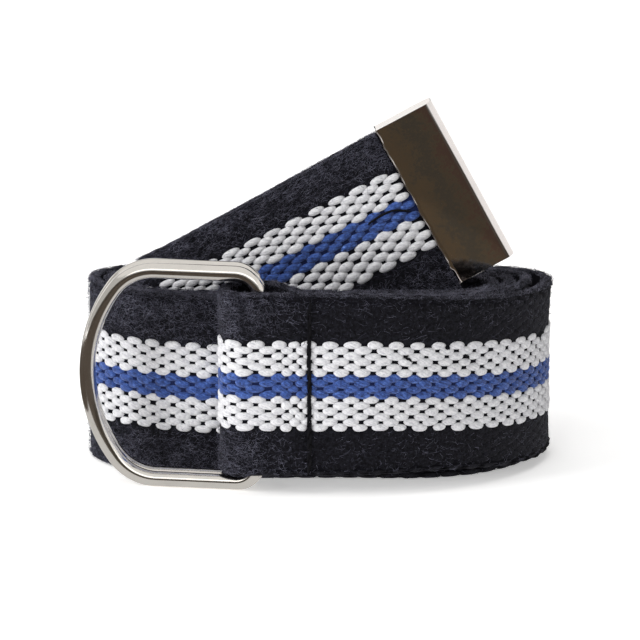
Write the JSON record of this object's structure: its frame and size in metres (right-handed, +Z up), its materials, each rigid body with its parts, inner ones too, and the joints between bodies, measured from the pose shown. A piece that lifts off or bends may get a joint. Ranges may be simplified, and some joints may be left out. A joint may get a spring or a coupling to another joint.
{
  "type": "canvas web belt",
  "caption": "Striped canvas web belt coiled on its edge, with D-ring buckle in a sewn loop and a folded metal tip on the raised free end.",
  "frame": {"origin": "middle of the coil's footprint, on the floor that it stands on", "axes": "+Z up along the webbing's width; +X along the coil, from the rings' end to the plain end; +Y away from the viewer, through the layers of the coil"},
  "size_m": [0.0958, 0.0422, 0.0769],
  "materials": {
    "webbing": "woven cotton, navy with white and blue stripes",
    "ring_metal": "polished nickel plate on steel wire",
    "tip_metal": "polished nickel plate on folded sheet"
  },
  "bodies": {
    "belt": {"webbing": "webbing", "tip": "tip_metal"},
    "front_ring_body": {"front_ring": "ring_metal"},
    "back_ring_body": {"back_ring": "ring_metal"}
  },
  "joints": [
    {"name": "front_ring_swing", "type": "hinge", "parent": "belt", "child": "front_ring_body", "pos_m": [-0.01164, -0.01685, 0.0235], "axis": [0, 0, 1], "range_deg": [0, 140]},
    {"name": "back_ring_swing", "type": "hinge", "parent": "belt", "child": "back_ring_body", "pos_m": [-0.01164, -0.01335, 0.0235], "axis": [0, 0, 1], "range_deg": [-7, 0]}
  ]
}
